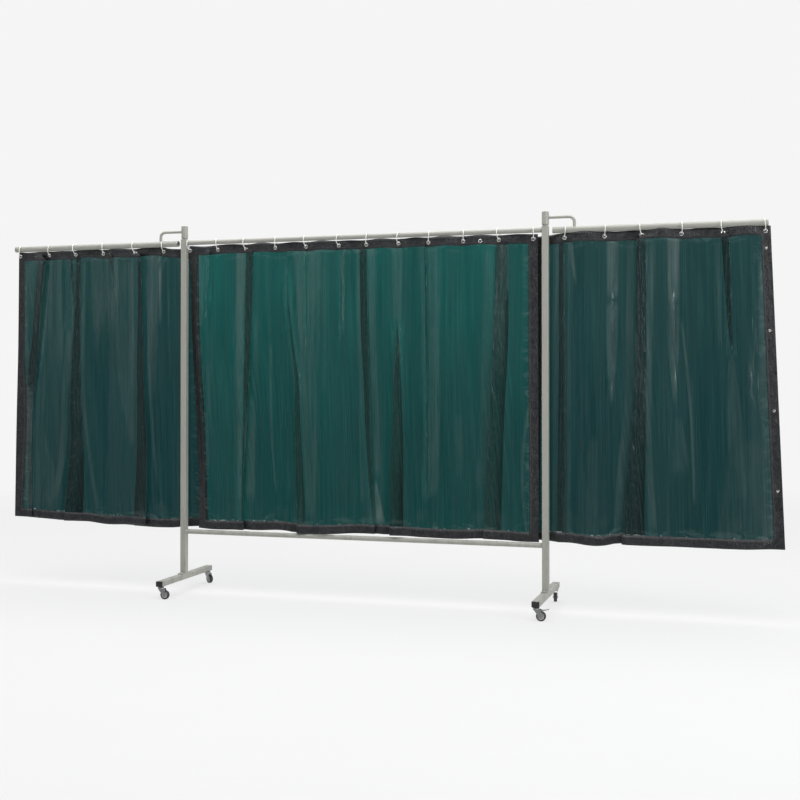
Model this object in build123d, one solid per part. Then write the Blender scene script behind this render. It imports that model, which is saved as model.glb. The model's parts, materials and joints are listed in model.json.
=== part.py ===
"""Mobile welding curtain screen: a tubular frame on four castors with two swinging side arms,
and three curtains of dark green film hung on plastic rings.

Millimetres. Origin on the floor, midway between the two post axes. +X runs along the screen,
-Y is its front, +Z is up. The screen stands open, with both arms in line with the centre frame.
"""
from build123d import *
from math import cos, pi, radians, sin
import os

# ---------------------------------------------------------------- driving dimensions
POST_SPACING = 2100.0       # between the post axes
ARM_REACH = 1125.0          # post axis to the outer end of an arm's rail
POST_SIDE = 35.0
POST_TOP = 2025.0
COLLAR_TOP = 2100.0         # overall height
TOP_RAIL_Z = 2004.0
BOTTOM_RAIL_Z = 342.0
RAIL_DIA = 26.9
ARM_RAIL_DIA = 33.7
TUBE_WALL = 2.0

FOOT_WIDTH = 40.0
FOOT_HEIGHT = 30.0
FOOT_FRONT = -301.0
FOOT_BACK = 324.0
CAP_FLANGE = 4.0
CASTOR_INSET = 22.0         # castor stem from the end of the foot

WHEEL_DIA = 50.0
WHEEL_WIDTH = 18.0
CASTOR_HEIGHT = 70.0
CASTOR_TRAIL = 25.0

CURTAIN_TOP = 1982.0
CURTAIN_BOTTOM = 365.0
FILM = 1.6                  # thickness of the plain film solid
HEM = 50.0                  # black border round each curtain
FOLD = 16.0                 # how far the film bows between two rings
FLAT_AT_RING = 16.0         # flat stretch each side of an eyelet
RING_BORE = 53.0
RING_WIRE = 4.5

# ring places along the rails; the rings slide, so they are not evenly spaced
CENTRE_RINGS = [-1015, -840, -665, -485, -300, -105, 55, 240, 410, 605, 800, 985]
LEFT_RINGS = [-2145, -1945, -1765, -1580, -1370, -1185]
RIGHT_RINGS = [1150, 1360, 1550, 1750, 1955, 2160]

# ---------------------------------------------------------------- worked-out dimensions
POST_X = POST_SPACING / 2
FOOT_TOP = CASTOR_HEIGHT + FOOT_HEIGHT
PLATE_THICK = 5.0
PLATE_LENGTH = 92.0
POST_FOOT = FOOT_TOP + PLATE_THICK
LID_THICK = 3.0
PIN_DIA = 29.0
COLLAR_DIA = 38.0
COLLAR_WALL = 2.5
COLLAR_BOTTOM = POST_TOP + 7
PIN_CLEARANCE = 0.06
PIN_END_GAP = 0.3
RAIL_TOP = TOP_RAIL_Z + RAIL_DIA / 2
ARM_RAIL_Z = RAIL_TOP - ARM_RAIL_DIA / 2
ARM_RAIL_START = 39.0       # from the post axis
CRANK_DIA = 16.0
CRANK_Z = COLLAR_TOP - 31
CRANK_DROP_X = 153.0
CRANK_BEND = 28.0
BOLT_OFFSET = 34.0
RING_MAJOR = (RING_BORE + RING_WIRE) / 2
RING_Z = RAIL_TOP + 0.1 - RING_BORE / 2
EYELET_BORE = 11.0
EYELET_Z = RING_Z - RING_MAJOR + RING_WIRE / 2 - EYELET_BORE / 2 + 0.1
EYELET_DIA = 22.0
EYELET_SHANK = 14.0
STUD_DIA = 15.0
STUD_PITCH = 406.0
STUD_FIRST = 112.0          # top stud below the curtain's top edge

# castor places and the way each wheel trails behind its stem
FRONT_STEM_Y = FOOT_FRONT + CASTOR_INSET
BACK_STEM_Y = FOOT_BACK - CASTOR_INSET
CASTORS = {
    "front_left": (-POST_X, FRONT_STEM_Y, 0.0),
    "front_right": (POST_X, FRONT_STEM_Y, 0.0),
    "back_left": (-POST_X, BACK_STEM_Y, -32.0),
    "back_right": (POST_X, BACK_STEM_Y, -80.0),
}
BRAKED = ("front_right", "back_left")
HUB_DIA = 35.0
AXLE_DIA = 6.0
RUNNING_GAP = 0.06
FORK_INSIDE = 19.6
FORK_SHEET = 2.0
FORK_PLATE_Z = 57.0
STEM_DIA = 10.0
SWIVEL_FLANGE = 5.0
FORK_TOP_THICK = 3.0
BEARING_CUP_DIA = 35.0
RIVET_DIA = 16.0
RIVET_THICK = 1.6
RIVET_GAP = 0.4
STEM_LENGTH = 40.0
STEM_TOP = 95.0
AXLE_HEAD_DIA = 10.0
AXLE_HEAD_THICK = 2.4
HUB_RIM = 3.0
HUB_RECESS = 3.0
HUB_BOSS_DIA = 13.0
TYRE_SHOULDER = 3.0
PEDAL_PIVOT = (21.0, 54.5)
PEDAL_WIDTH = 17.0
PEDAL_PIN_DIA = 4.0

nodes = {}


# ---------------------------------------------------------------- shared shapes
def along_x(shape):
    """Turn a shape built along +Z to lie along +X."""
    return Rot(0, 90, 0) * shape


def along_y(shape):
    """Turn a shape built along +Z to lie along +Y."""
    return Rot(-90, 0, 0) * shape


def round_tube(diameter, length, wall=TUBE_WALL):
    return Cylinder(diameter / 2, length) - Cylinder(diameter / 2 - wall, length)


def box_tube(width, depth, length, corner, wall=TUBE_WALL):
    """Rectangular tube along +Z, its foot at Z = 0."""
    outer = RectangleRounded(width, depth, corner)
    inner = RectangleRounded(width - 2 * wall, depth - 2 * wall, corner - wall)
    return extrude(outer - inner, length)


# ---------------------------------------------------------------- centre frame
def post(x):
    tube = box_tube(POST_SIDE, POST_SIDE, POST_TOP - LID_THICK - POST_FOOT, 4.0)
    return Pos(x, 0, POST_FOOT) * tube


def pivot_pin(x):
    """Square lid on the post with the arm's pin standing on it and a plug inside the tube."""
    lid = extrude(RectangleRounded(POST_SIDE, POST_SIDE, 4.0), LID_THICK)
    lid = chamfer(lid.faces().sort_by(Axis.Z)[-1].edges(), 1.2)
    plug_side = POST_SIDE - 2 * TUBE_WALL - 0.4
    plug = Pos(0, 0, -15) * extrude(RectangleRounded(plug_side, plug_side, 2.4), 15)
    pin_height = COLLAR_TOP - LID_THICK - PIN_END_GAP - POST_TOP
    pin = Pos(0, 0, LID_THICK + pin_height / 2) * Cylinder(PIN_DIA / 2, pin_height)
    return Pos(x, 0, POST_TOP - LID_THICK) * (lid + plug + pin)


def cross_rail(z):
    length = POST_SPACING - POST_SIDE
    return Pos(0, 0, z) * along_x(round_tube(RAIL_DIA, length))


def rail_welds():
    """Fillet welds where the two cross rails meet the posts."""
    leg = 4.0
    face = POST_X - POST_SIDE / 2
    beads = []
    for z in (TOP_RAIL_Z, BOTTOM_RAIL_Z):
        for side in (-1, 1):
            cone = Cone(RAIL_DIA / 2 + 0.2, RAIL_DIA / 2 + leg, leg)
            bead = Rot(0, 90 * side, 0) * (cone - Cylinder(RAIL_DIA / 2, leg))
            beads.append(Pos(side * (face - leg / 2), 0, z) * bead)
    return Compound(beads)


def foot(x):
    length = FOOT_BACK - FOOT_FRONT - 2 * CAP_FLANGE
    tube = Rot(-90, 0, 0) * box_tube(FOOT_WIDTH, FOOT_HEIGHT, length, 4.0)
    tube = Pos(x, FOOT_FRONT + CAP_FLANGE, CASTOR_HEIGHT + FOOT_HEIGHT / 2) * tube
    for y in (FRONT_STEM_Y, BACK_STEM_Y):
        tube -= Pos(x, y, CASTOR_HEIGHT) * Cylinder(STEM_DIA / 2 + 0.2, 10)
    for y in (-BOLT_OFFSET, BOLT_OFFSET):
        tube -= Pos(x, y, FOOT_TOP) * Cylinder(4.3, 10)
    return tube


def base_plate(x):
    plate = Box(FOOT_WIDTH - 2, PLATE_LENGTH, PLATE_THICK)
    plate = fillet(plate.edges().filter_by(Axis.Z), 4)
    for y in (-BOLT_OFFSET, BOLT_OFFSET):
        plate -= Pos(0, y, 0) * Cylinder(4.3, PLATE_THICK)
    return Pos(x, 0, FOOT_TOP + PLATE_THICK / 2) * plate


def base_bolts():
    """Hexagon bolts that hold the base plates on the feet."""
    bolts = []
    for x in (-POST_X, POST_X):
        for y in (-BOLT_OFFSET, BOLT_OFFSET):
            head = extrude(RegularPolygon(7.5, 6), 5.3)
            head = chamfer(head.faces().sort_by(Axis.Z)[-1].edges(), 0.6)
            shank = Pos(0, 0, -9) * Cylinder(4.0, 18)
            bolts.append(Pos(x, y, POST_FOOT) * (head + shank))
    return Compound(bolts)


def foot_cap(x, y, outward):
    """Plastic plug in the end of a foot; outward is -1 at the front and 1 at the back."""
    flange = Box(FOOT_WIDTH, CAP_FLANGE, FOOT_HEIGHT)
    flange = fillet(flange.edges().filter_by(Axis.Y), 3.5)
    outer_face = flange.faces().sort_by(Axis.Y)[-1 if outward > 0 else 0]
    flange = chamfer(outer_face.edges(), 1.0)
    plug = Box(FOOT_WIDTH - 2 * TUBE_WALL - 0.4, 9, FOOT_HEIGHT - 2 * TUBE_WALL - 0.4)
    plug = fillet(plug.edges().filter_by(Axis.Y), 2.4)
    cap = flange + Pos(0, -outward * (CAP_FLANGE + 9) / 2, 0) * plug
    middle_y = y - outward * CAP_FLANGE / 2
    return Pos(x, middle_y, CASTOR_HEIGHT + FOOT_HEIGHT / 2) * cap


nodes["left_post"] = post(-POST_X)
nodes["right_post"] = post(POST_X)
nodes["left_pivot_pin"] = pivot_pin(-POST_X)
nodes["right_pivot_pin"] = pivot_pin(POST_X)
nodes["top_rail"] = cross_rail(TOP_RAIL_Z)
nodes["bottom_rail"] = cross_rail(BOTTOM_RAIL_Z)
nodes["rail_welds"] = rail_welds()
nodes["left_foot"] = foot(-POST_X)
nodes["right_foot"] = foot(POST_X)
nodes["left_base_plate"] = base_plate(-POST_X)
nodes["right_base_plate"] = base_plate(POST_X)
nodes["base_bolts"] = base_bolts()
nodes["foot_end_caps"] = Compound(
    [foot_cap(x, y, out) for x in (-POST_X, POST_X) for y, out in ((FOOT_FRONT, -1), (FOOT_BACK, 1))]
)


# ---------------------------------------------------------------- castors
def place_castor(shape, name):
    """Move a castor piece, built about its stem with the wheel trailing to +X, to its foot."""
    x, y, swivel = CASTORS[name]
    return Pos(x, y, 0) * Rot(0, 0, swivel) * shape


def castor_stem():
    """Screwed stem with the black upper bearing cup and the rivet head that carries the fork."""
    flange_z = CASTOR_HEIGHT - SWIVEL_FLANGE
    flange = Cylinder(BEARING_CUP_DIA / 2, SWIVEL_FLANGE)
    flange = Pos(0, 0, flange_z + SWIVEL_FLANGE / 2) * flange
    flange = fillet(flange.edges().sort_by(Axis.Z)[0], 1.5)
    rod = Cylinder(STEM_DIA / 2, STEM_LENGTH)
    rod = Pos(0, 0, STEM_TOP - STEM_LENGTH / 2) * rod
    rivet = Cylinder(RIVET_DIA / 2, RIVET_THICK)
    rivet = Pos(0, 0, FORK_PLATE_Z - RIVET_GAP - RIVET_THICK / 2) * rivet
    return flange + rod + rivet


def fork_leg(pin_hole):
    outline = Polygon((-14, 60), (25, 60), (34, 28), (17, 21), align=None)
    boss = Pos(CASTOR_TRAIL, WHEEL_DIA / 2) * Circle(9.2)
    leg = outline + boss - Pos(CASTOR_TRAIL, WHEEL_DIA / 2) * Circle(AXLE_DIA / 2)
    if pin_hole:
        leg -= Pos(*PEDAL_PIVOT) * Circle(PEDAL_PIN_DIA / 2 + RUNNING_GAP)
    return Rot(90, 0, 0) * extrude(leg, FORK_SHEET / 2, both=True)


def fork(braked):
    width = FORK_INSIDE + 2 * FORK_SHEET
    plate = Box(30, width, FORK_TOP_THICK) + Cylinder(BEARING_CUP_DIA / 2 - 1, FORK_TOP_THICK)
    plate = Pos(0, 0, FORK_PLATE_Z + FORK_TOP_THICK / 2) * plate
    cup_bottom = FORK_PLATE_Z + FORK_TOP_THICK
    cup_height = CASTOR_HEIGHT - SWIVEL_FLANGE - PIN_END_GAP - cup_bottom
    cup = Cylinder(BEARING_CUP_DIA / 2 - 2, cup_height)
    cup = Pos(0, 0, cup_bottom + cup_height / 2) * cup
    body = plate + cup
    for side in (-1, 1):
        body += Pos(0, side * (FORK_INSIDE + FORK_SHEET) / 2, 0) * fork_leg(braked)
    return body - Pos(0, 0, 62) * Cylinder(STEM_DIA / 2 + RUNNING_GAP, 20)


def axle():
    """Bolt through the fork and the hub, with a round head at each end."""
    outside = FORK_INSIDE / 2 + FORK_SHEET
    rod = Cylinder(AXLE_DIA / 2, 2 * outside)
    head = Cylinder(AXLE_HEAD_DIA / 2, AXLE_HEAD_THICK)
    bolt = rod
    for side in (-1, 1):
        bolt += Pos(0, 0, side * (outside + AXLE_HEAD_THICK / 2)) * head
    return Pos(CASTOR_TRAIL, 0, WHEEL_DIA / 2) * along_y(bolt)


def hub():
    blank = Cylinder(HUB_DIA / 2, WHEEL_WIDTH - 1)
    for side in (-1, 1):
        recess = Cylinder(HUB_DIA / 2 - HUB_RIM, HUB_RECESS)
        recess -= Cylinder(HUB_BOSS_DIA / 2, HUB_RECESS)
        blank -= Pos(0, 0, side * (WHEEL_WIDTH - HUB_RECESS) / 2) * recess
    blank -= Cylinder(AXLE_DIA / 2 + RUNNING_GAP, WHEEL_WIDTH)
    return Pos(CASTOR_TRAIL, 0, WHEEL_DIA / 2) * along_y(blank)


def tyre():
    ring = Cylinder(WHEEL_DIA / 2, WHEEL_WIDTH)
    ring = fillet(ring.edges(), TYRE_SHOULDER) - Cylinder(HUB_DIA / 2, WHEEL_WIDTH)
    return Pos(CASTOR_TRAIL, 0, WHEEL_DIA / 2) * along_y(ring)


def brake_pedal():
    """Pressed pedal that turns on its own pin between the fork's legs."""
    px, pz = PEDAL_PIVOT
    lever = Polygon((px, pz + 2.6), (45, 57.6), (64, 63), (66, 60.6), (46, 54.6), (px, pz - 2.6), align=None)
    profile = lever + Pos(px, pz) * Circle(2.6)
    lever = Rot(90, 0, 0) * extrude(profile, PEDAL_WIDTH / 2, both=True)
    pin = Pos(px, 0, pz) * along_y(Cylinder(PEDAL_PIN_DIA / 2, FORK_INSIDE + 2 * FORK_SHEET))
    return lever + pin


for castor in CASTORS:
    nodes[f"{castor}_castor_stem"] = place_castor(castor_stem(), castor)
    nodes[f"{castor}_castor_fork"] = place_castor(fork(castor in BRAKED), castor)
    nodes[f"{castor}_axle"] = place_castor(axle(), castor)
    nodes[f"{castor}_wheel_hub"] = place_castor(hub(), castor)
    nodes[f"{castor}_wheel_tyre"] = place_castor(tyre(), castor)
for castor in BRAKED:
    nodes[f"{castor}_brake_pedal"] = place_castor(brake_pedal(), castor)


# ---------------------------------------------------------------- side arms
def collar():
    """Round cup that drops over the pivot pin."""
    height = COLLAR_TOP - COLLAR_BOTTOM
    cup = Cylinder(COLLAR_DIA / 2, height)
    cup = chamfer(cup.edges().sort_by(Axis.Z)[-1], 1.0)
    cup -= Pos(0, 0, -LID_THICK) * Cylinder(COLLAR_DIA / 2 - COLLAR_WALL, height)
    return Pos(0, 0, COLLAR_BOTTOM + height / 2) * cup


def pivot_bush():
    """Plastic sleeve in the collar, a running fit on the pin."""
    height = COLLAR_TOP - LID_THICK - COLLAR_BOTTOM
    sleeve = Cylinder(COLLAR_DIA / 2 - COLLAR_WALL, height)
    sleeve -= Cylinder(PIN_DIA / 2 + PIN_CLEARANCE, height)
    return Pos(0, 0, COLLAR_BOTTOM + height / 2) * sleeve


def arm_rail():
    length = ARM_REACH - ARM_RAIL_START
    tube = along_x(round_tube(ARM_RAIL_DIA, length))
    return Pos(ARM_RAIL_START + length / 2, 0, ARM_RAIL_Z) * tube


def crank():
    """Bent bar from the collar to the top of the arm's rail, coped on both."""
    start = (COLLAR_DIA / 2 - 4, 0, CRANK_Z)
    corner = (CRANK_DROP_X, 0, CRANK_Z)
    end = (CRANK_DROP_X, 0, ARM_RAIL_Z + 8)
    path = FilletPolyline(start, corner, end, radius=CRANK_BEND)
    bar = sweep(Plane(origin=start, z_dir=(1, 0, 0)) * Circle(CRANK_DIA / 2), path)
    bar -= Pos(0, 0, CRANK_Z) * Cylinder(COLLAR_DIA / 2, 60)
    return bar - Pos(CRANK_DROP_X, 0, ARM_RAIL_Z) * along_x(Cylinder(ARM_RAIL_DIA / 2, 80))


for side, turn in (("left", 180), ("right", 0)):
    to_arm = Pos(POST_X if side == "right" else -POST_X, 0, 0) * Rot(0, 0, turn)
    nodes[f"{side}_arm_collar"] = to_arm * collar()
    nodes[f"{side}_arm_bush"] = to_arm * pivot_bush()
    nodes[f"{side}_arm_rail"] = to_arm * arm_rail()
    nodes[f"{side}_arm_crank"] = to_arm * crank()


# ---------------------------------------------------------------- curtains
def curtain_sheet(start, end, rings):
    """Hung film from x = start to x = end, flat at each ring and bowed between rings."""
    points = [(start, 0.0), (rings[0], 0.0)]
    for bay, (left, right) in enumerate(zip(rings, rings[1:])):
        reach = FOLD if bay % 2 else -FOLD
        low, high = left + FLAT_AT_RING, right - FLAT_AT_RING
        points += [(low + (high - low) * k / 4, reach * sin(pi * k / 4) ** 2) for k in range(5)]
        points.append((right, 0.0))
    points.append((end, 0.0))
    front = Spline(*[(x, y - FILM / 2) for x, y in points])
    back = Spline(*[(x, y + FILM / 2) for x, y in points])
    edges = [front, Line(front @ 1, back @ 1), back, Line(back @ 0, front @ 0)]
    sheet = extrude(make_face(edges), CURTAIN_TOP - CURTAIN_BOTTOM)
    return Pos(0, 0, CURTAIN_BOTTOM) * sheet


def eyelet():
    """Two-part metal eyelet crimped through the hem, its hole along Y."""
    flanges = Cylinder(EYELET_DIA / 2, FILM + 1.6) - Cylinder(EYELET_DIA / 2 + 1, FILM)
    ring = flanges + Cylinder(EYELET_SHANK / 2, FILM + 1.6)
    return along_y(ring - Cylinder(EYELET_BORE / 2, 10))


def curtain_ring():
    """Open plastic ring over the rail and through an eyelet, with a ball on its front end."""
    opening = 14.0
    tail = 10.0
    hoop = Torus(RING_MAJOR, RING_WIRE / 2, major_angle=360 - opening)
    hoop = Rot(0, 90, 0) * Rot(0, 0, -tail) * hoop
    turn = radians(tail + opening)
    ball = Pos(0, -RING_MAJOR * sin(turn), -RING_MAJOR * cos(turn)) * Sphere(3.2)
    return hoop + ball


def stud():
    """Press stud, its cap on the front of the hem and its socket behind."""
    cap = Pos(0, 0, FILM / 2 + 1.1) * Cylinder(STUD_DIA / 2, 2.2)
    cap = fillet(cap.edges().sort_by(Axis.Z)[-1], 0.9)
    post_pin = Cylinder(2.5, FILM)
    socket = Pos(0, 0, -FILM / 2 - 1.0) * Cylinder(STUD_DIA / 2 - 1.5, 2.0)
    return Rot(90, 0, 0) * (cap + post_pin + socket)


def hang_curtain(name, start, end, rings):
    """Film, black hem, eyelets and rings of one curtain."""
    sheet = curtain_sheet(start, end, rings)
    middle = ((start + end) / 2, 0, (CURTAIN_TOP + CURTAIN_BOTTOM) / 2)
    window = Box(end - start - 2 * HEM, 4 * FOLD, CURTAIN_TOP - CURTAIN_BOTTOM - 2 * HEM)
    window = Pos(*middle) * window
    hem = sheet - window
    for x in rings:
        hem -= Pos(x, 0, EYELET_Z) * along_y(Cylinder(EYELET_SHANK / 2, 20))
    nodes[f"{name}_film"] = sheet & window
    nodes[f"{name}_hem"] = hem
    nodes[f"{name}_eyelets"] = Compound([Pos(x, 0, EYELET_Z) * eyelet() for x in rings])
    nodes[f"{name}_rings"] = Compound([Pos(x, 0, RING_Z) * curtain_ring() for x in rings])


POST_CLEARANCE = 27.0       # arm curtains start this far from the pivot axis
CENTRE_EDGE_GAP = 24.0      # centre curtain's edges from the post axes
LEFT_EDGE = -2165.0
RIGHT_EDGE = 2203.0
hang_curtain("centre", -POST_X + CENTRE_EDGE_GAP, POST_X - CENTRE_EDGE_GAP, CENTRE_RINGS)
hang_curtain("left_arm", LEFT_EDGE, -POST_X - POST_CLEARANCE, LEFT_RINGS)
hang_curtain("right_arm", POST_X + POST_CLEARANCE, RIGHT_EDGE, RIGHT_RINGS)

stud_x = RIGHT_EDGE - HEM / 2
studs = [Pos(stud_x, 0, CURTAIN_TOP - STUD_FIRST - k * STUD_PITCH) * stud() for k in range(4)]
nodes["right_arm_press_studs"] = Compound(studs)


# ---------------------------------------------------------------- write the parts
os.makedirs("parts", exist_ok=True)
for node, shape in nodes.items():
    export_step(shape, f"parts/{node}.step")
print(len(nodes), "nodes written")
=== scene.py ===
import json
import math

import bpy
import numpy as np
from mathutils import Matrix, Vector


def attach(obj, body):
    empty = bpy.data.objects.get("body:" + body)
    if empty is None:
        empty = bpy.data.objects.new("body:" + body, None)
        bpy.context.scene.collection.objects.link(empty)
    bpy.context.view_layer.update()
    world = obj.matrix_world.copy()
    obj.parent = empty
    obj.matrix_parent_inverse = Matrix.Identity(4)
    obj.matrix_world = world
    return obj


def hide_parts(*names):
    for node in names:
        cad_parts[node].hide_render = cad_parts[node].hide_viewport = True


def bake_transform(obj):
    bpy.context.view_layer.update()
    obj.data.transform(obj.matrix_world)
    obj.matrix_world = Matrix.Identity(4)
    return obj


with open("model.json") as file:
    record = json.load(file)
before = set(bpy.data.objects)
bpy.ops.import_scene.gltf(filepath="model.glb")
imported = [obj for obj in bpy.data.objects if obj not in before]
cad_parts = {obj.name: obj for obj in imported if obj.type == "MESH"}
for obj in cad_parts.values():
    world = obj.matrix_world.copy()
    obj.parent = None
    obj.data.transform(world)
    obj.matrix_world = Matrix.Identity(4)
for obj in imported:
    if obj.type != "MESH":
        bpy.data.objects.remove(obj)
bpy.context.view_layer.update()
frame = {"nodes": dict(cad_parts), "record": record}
MM = 0.001

# ---------------------------------------------------------------- camera
CAMERA_PLACE = (2.159, -6.296, 1.207)
CAMERA_YAW = 0.2945
CAMERA_PITCH = 0.0092
CAMERA_LENS = 54.25
CAMERA_SHIFT_Y = -0.0375


def make_camera():
    data = bpy.data.cameras.new("photo_camera")
    data.lens = CAMERA_LENS
    data.sensor_width = 36
    data.shift_y = CAMERA_SHIFT_Y
    data.clip_end = 200
    camera = bpy.data.objects.new("photo_camera", data)
    camera.location = CAMERA_PLACE
    camera.rotation_euler = (math.pi / 2 + CAMERA_PITCH, 0, CAMERA_YAW)
    bpy.context.scene.collection.objects.link(camera)
    bpy.context.scene.camera = camera


make_camera()
bpy.context.scene.view_settings.view_transform = "Standard"


# ---------------------------------------------------------------- material helpers
class Nodes:
    """A material's node tree, with one short call for each kind of node."""

    def __init__(self, name):
        self.material = bpy.data.materials.new(name)
        self.material.use_nodes = True
        self.tree = self.material.node_tree
        self.shader = self.tree.nodes["Principled BSDF"]
        self.output = self.tree.nodes["Material Output"]

    def node(self, kind, **settings):
        made = self.tree.nodes.new(kind)
        for key, value in settings.items():
            setattr(made, key, value)
        return made

    def link(self, source, target):
        self.tree.links.new(source, target)

    def feed(self, socket, value):
        if isinstance(value, bpy.types.NodeSocket):
            self.link(value, socket)
        else:
            socket.default_value = value

    def place(self, stretch=(1, 1, 1), uv=None, turn=0.0):
        """Object coordinates in metres, or the cut sheet's own coordinates, stretched."""
        if uv:
            source = self.node("ShaderNodeUVMap", uv_map=uv).outputs["UV"]
        else:
            source = self.node("ShaderNodeTexCoord").outputs["Object"]
        mapping = self.node("ShaderNodeMapping")
        mapping.inputs["Scale"].default_value = stretch
        mapping.inputs["Rotation"].default_value[2] = turn
        self.link(source, mapping.inputs["Vector"])
        return mapping.outputs["Vector"]

    def axis(self, vector, name):
        split = self.node("ShaderNodeSeparateXYZ")
        self.link(vector, split.inputs[0])
        return split.outputs[name]

    def attribute(self, name):
        """A number that the mesh keeps at each of its points."""
        return self.node("ShaderNodeAttribute", attribute_name=name).outputs["Fac"]

    def noise(self, place, scale=1.0, detail=3.0, rough=0.55, warp=0.0):
        made = self.node("ShaderNodeTexNoise")
        self.link(place, made.inputs["Vector"])
        made.inputs["Scale"].default_value = scale
        made.inputs["Detail"].default_value = detail
        made.inputs["Roughness"].default_value = rough
        made.inputs["Distortion"].default_value = warp
        return made.outputs["Fac"]

    def sheet_noise(self, across, down, detail=3.0, rough=0.55, warp=0.0, turn=0.0):
        """Noise in the cut sheet's own coordinates, so many times per metre across and down."""
        return self.noise(self.place((across, down, 1), "cut", turn), 1, detail, rough, warp)

    def cells(self, place, scale):
        made = self.node("ShaderNodeTexVoronoi")
        self.link(place, made.inputs["Vector"])
        made.inputs["Scale"].default_value = scale
        return made.outputs["Distance"]

    def levels(self, value, low, high, out_low=0.0, out_high=1.0):
        made = self.node("ShaderNodeMapRange")
        self.link(value, made.inputs["Value"])
        made.inputs["From Min"].default_value = low
        made.inputs["From Max"].default_value = high
        made.inputs["To Min"].default_value = out_low
        made.inputs["To Max"].default_value = out_high
        return made.outputs["Result"]

    def math(self, operation, a, b=0.0):
        made = self.node("ShaderNodeMath", operation=operation)
        self.feed(made.inputs[0], a)
        self.feed(made.inputs[1], b)
        return made.outputs[0]

    def colour(self, factor, a, b, blend="MIX"):
        made = self.node("ShaderNodeMix", data_type="RGBA", blend_type=blend)
        self.feed(made.inputs[0], factor)
        for socket, value in ((made.inputs[6], a), (made.inputs[7], b)):
            self.feed(socket, value if isinstance(value, bpy.types.NodeSocket) else (*value, 1))
        return made.outputs[2]

    def bump(self, height, distance, strength=1.0, below=None):
        made = self.node("ShaderNodeBump")
        made.inputs["Strength"].default_value = strength
        made.inputs["Distance"].default_value = distance
        self.link(height, made.inputs["Height"])
        if below is not None:
            self.link(below, made.inputs["Normal"])
        return made.outputs["Normal"]

    def set(self, **values):
        names = {"colour": "Base Color", "rough": "Roughness", "metal": "Metallic",
                 "normal": "Normal", "coat": "Coat Weight", "coat_rough": "Coat Roughness",
                 "specular": "Specular IOR Level"}
        for key, value in values.items():
            if key == "colour" and not isinstance(value, bpy.types.NodeSocket):
                value = (*value, 1)
            self.feed(self.shader.inputs[names[key]], value)
        return self.material

    def surface(self, factor, first, second):
        """The surface is the first shader, mixed towards the second by the factor."""
        mix = self.node("ShaderNodeMixShader")
        self.link(factor, mix.inputs["Fac"])
        self.link(first, mix.inputs[1])
        self.link(second, mix.inputs[2])
        self.link(mix.outputs[0], self.output.inputs["Surface"])


def powder_coat():
    m = Nodes("light_grey_powder_coat")
    broad = m.noise(m.place(), 2.2, 4)
    speckle = m.noise(m.place(), 160, 3, 0.7)
    peel = m.noise(m.place(), 620, 2, 0.5)
    grime = m.noise(m.place((1, 1, 0.35)), 26, 6, 0.62, 0.8)
    low_down = m.levels(m.axis(m.place(), "Z"), 0.62, 0.06)
    amount = m.math("ADD", m.math("MULTIPLY", low_down, 0.5), 0.12)
    dirt = m.math("MULTIPLY", m.levels(grime, 0.5, 0.72), amount)
    paint = m.colour(broad, (0.315, 0.317, 0.282), (0.352, 0.353, 0.314))
    paint = m.colour(m.levels(speckle, 0.62, 0.8, 0, 0.3), paint, (0.45, 0.45, 0.41))
    paint = m.colour(dirt, paint, (0.15, 0.145, 0.125))
    rough = m.levels(m.noise(m.place(), 45, 4), 0.3, 0.7, 0.3, 0.44)
    rough = m.math("ADD", rough, m.math("MULTIPLY", dirt, 0.3))
    normal = m.bump(peel, 0.00022, 0.45)
    normal = m.bump(m.noise(m.place(), 60, 2), 0.0004, 0.25, normal)
    return m.set(colour=paint, rough=rough, normal=normal, specular=0.45)


def weld_paint():
    m = Nodes("painted_weld_bead")
    ripple = m.noise(m.place(), 420, 3, 0.6, 1.2)
    paint = m.colour(m.noise(m.place(), 90, 4), (0.27, 0.272, 0.245), (0.35, 0.351, 0.312))
    normal = m.bump(ripple, 0.0012, 0.7)
    return m.set(colour=paint, rough=m.levels(ripple, 0.3, 0.7, 0.34, 0.5), normal=normal)


def zinc_plate():
    m = Nodes("bright_zinc_plate")
    crystals = m.cells(m.place(), 230)
    grain = m.noise(m.place((1, 1, 14)), 130, 4, 0.7)
    tone = m.colour(crystals, (0.5, 0.515, 0.53), (0.68, 0.69, 0.7))
    tone = m.colour(m.levels(m.noise(m.place(), 34, 5), 0.55, 0.75, 0, 0.5), tone, (0.36, 0.35, 0.33))
    rough = m.levels(grain, 0.25, 0.75, 0.24, 0.46)
    normal = m.bump(grain, 0.00012, 0.5)
    return m.set(colour=tone, metal=1.0, rough=rough, normal=normal)


def nickel_plate():
    m = Nodes("nickel_plate")
    scratches = m.noise(m.place((1, 1, 9)), 800, 4, 0.65)
    tarnish = m.noise(m.place(), 120, 5, 0.6)
    tone = m.colour(m.levels(tarnish, 0.48, 0.75), (0.8, 0.79, 0.765), (0.47, 0.455, 0.42))
    normal = m.bump(scratches, 0.00006, 0.4)
    return m.set(colour=tone, metal=1.0, rough=m.levels(scratches, 0.3, 0.7, 0.14, 0.3), normal=normal)


def satin_black_steel():
    m = Nodes("satin_black_steel")
    wear = m.noise(m.place(), 75, 6, 0.65)
    tone = m.colour(m.levels(wear, 0.64, 0.76), (0.022, 0.022, 0.024), (0.16, 0.155, 0.15))
    normal = m.bump(m.noise(m.place(), 700, 2), 0.00015, 0.4)
    return m.set(colour=tone, metal=0.25, rough=m.levels(wear, 0.3, 0.7, 0.3, 0.46), normal=normal)


def moulded(name, dark, light, rough, grain=900, depth=0.0001):
    m = Nodes(name)
    texture = m.noise(m.place(), grain, 2, 0.6)
    scuff = m.noise(m.place((1, 1, 2.2)), 85, 6, 0.65, 0.6)
    tone = m.colour(m.levels(scuff, 0.35, 0.75), dark, light)
    normal = m.bump(texture, depth, 0.5)
    return m.set(colour=tone, rough=m.levels(scuff, 0.3, 0.7, rough, rough + 0.16), normal=normal)


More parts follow.
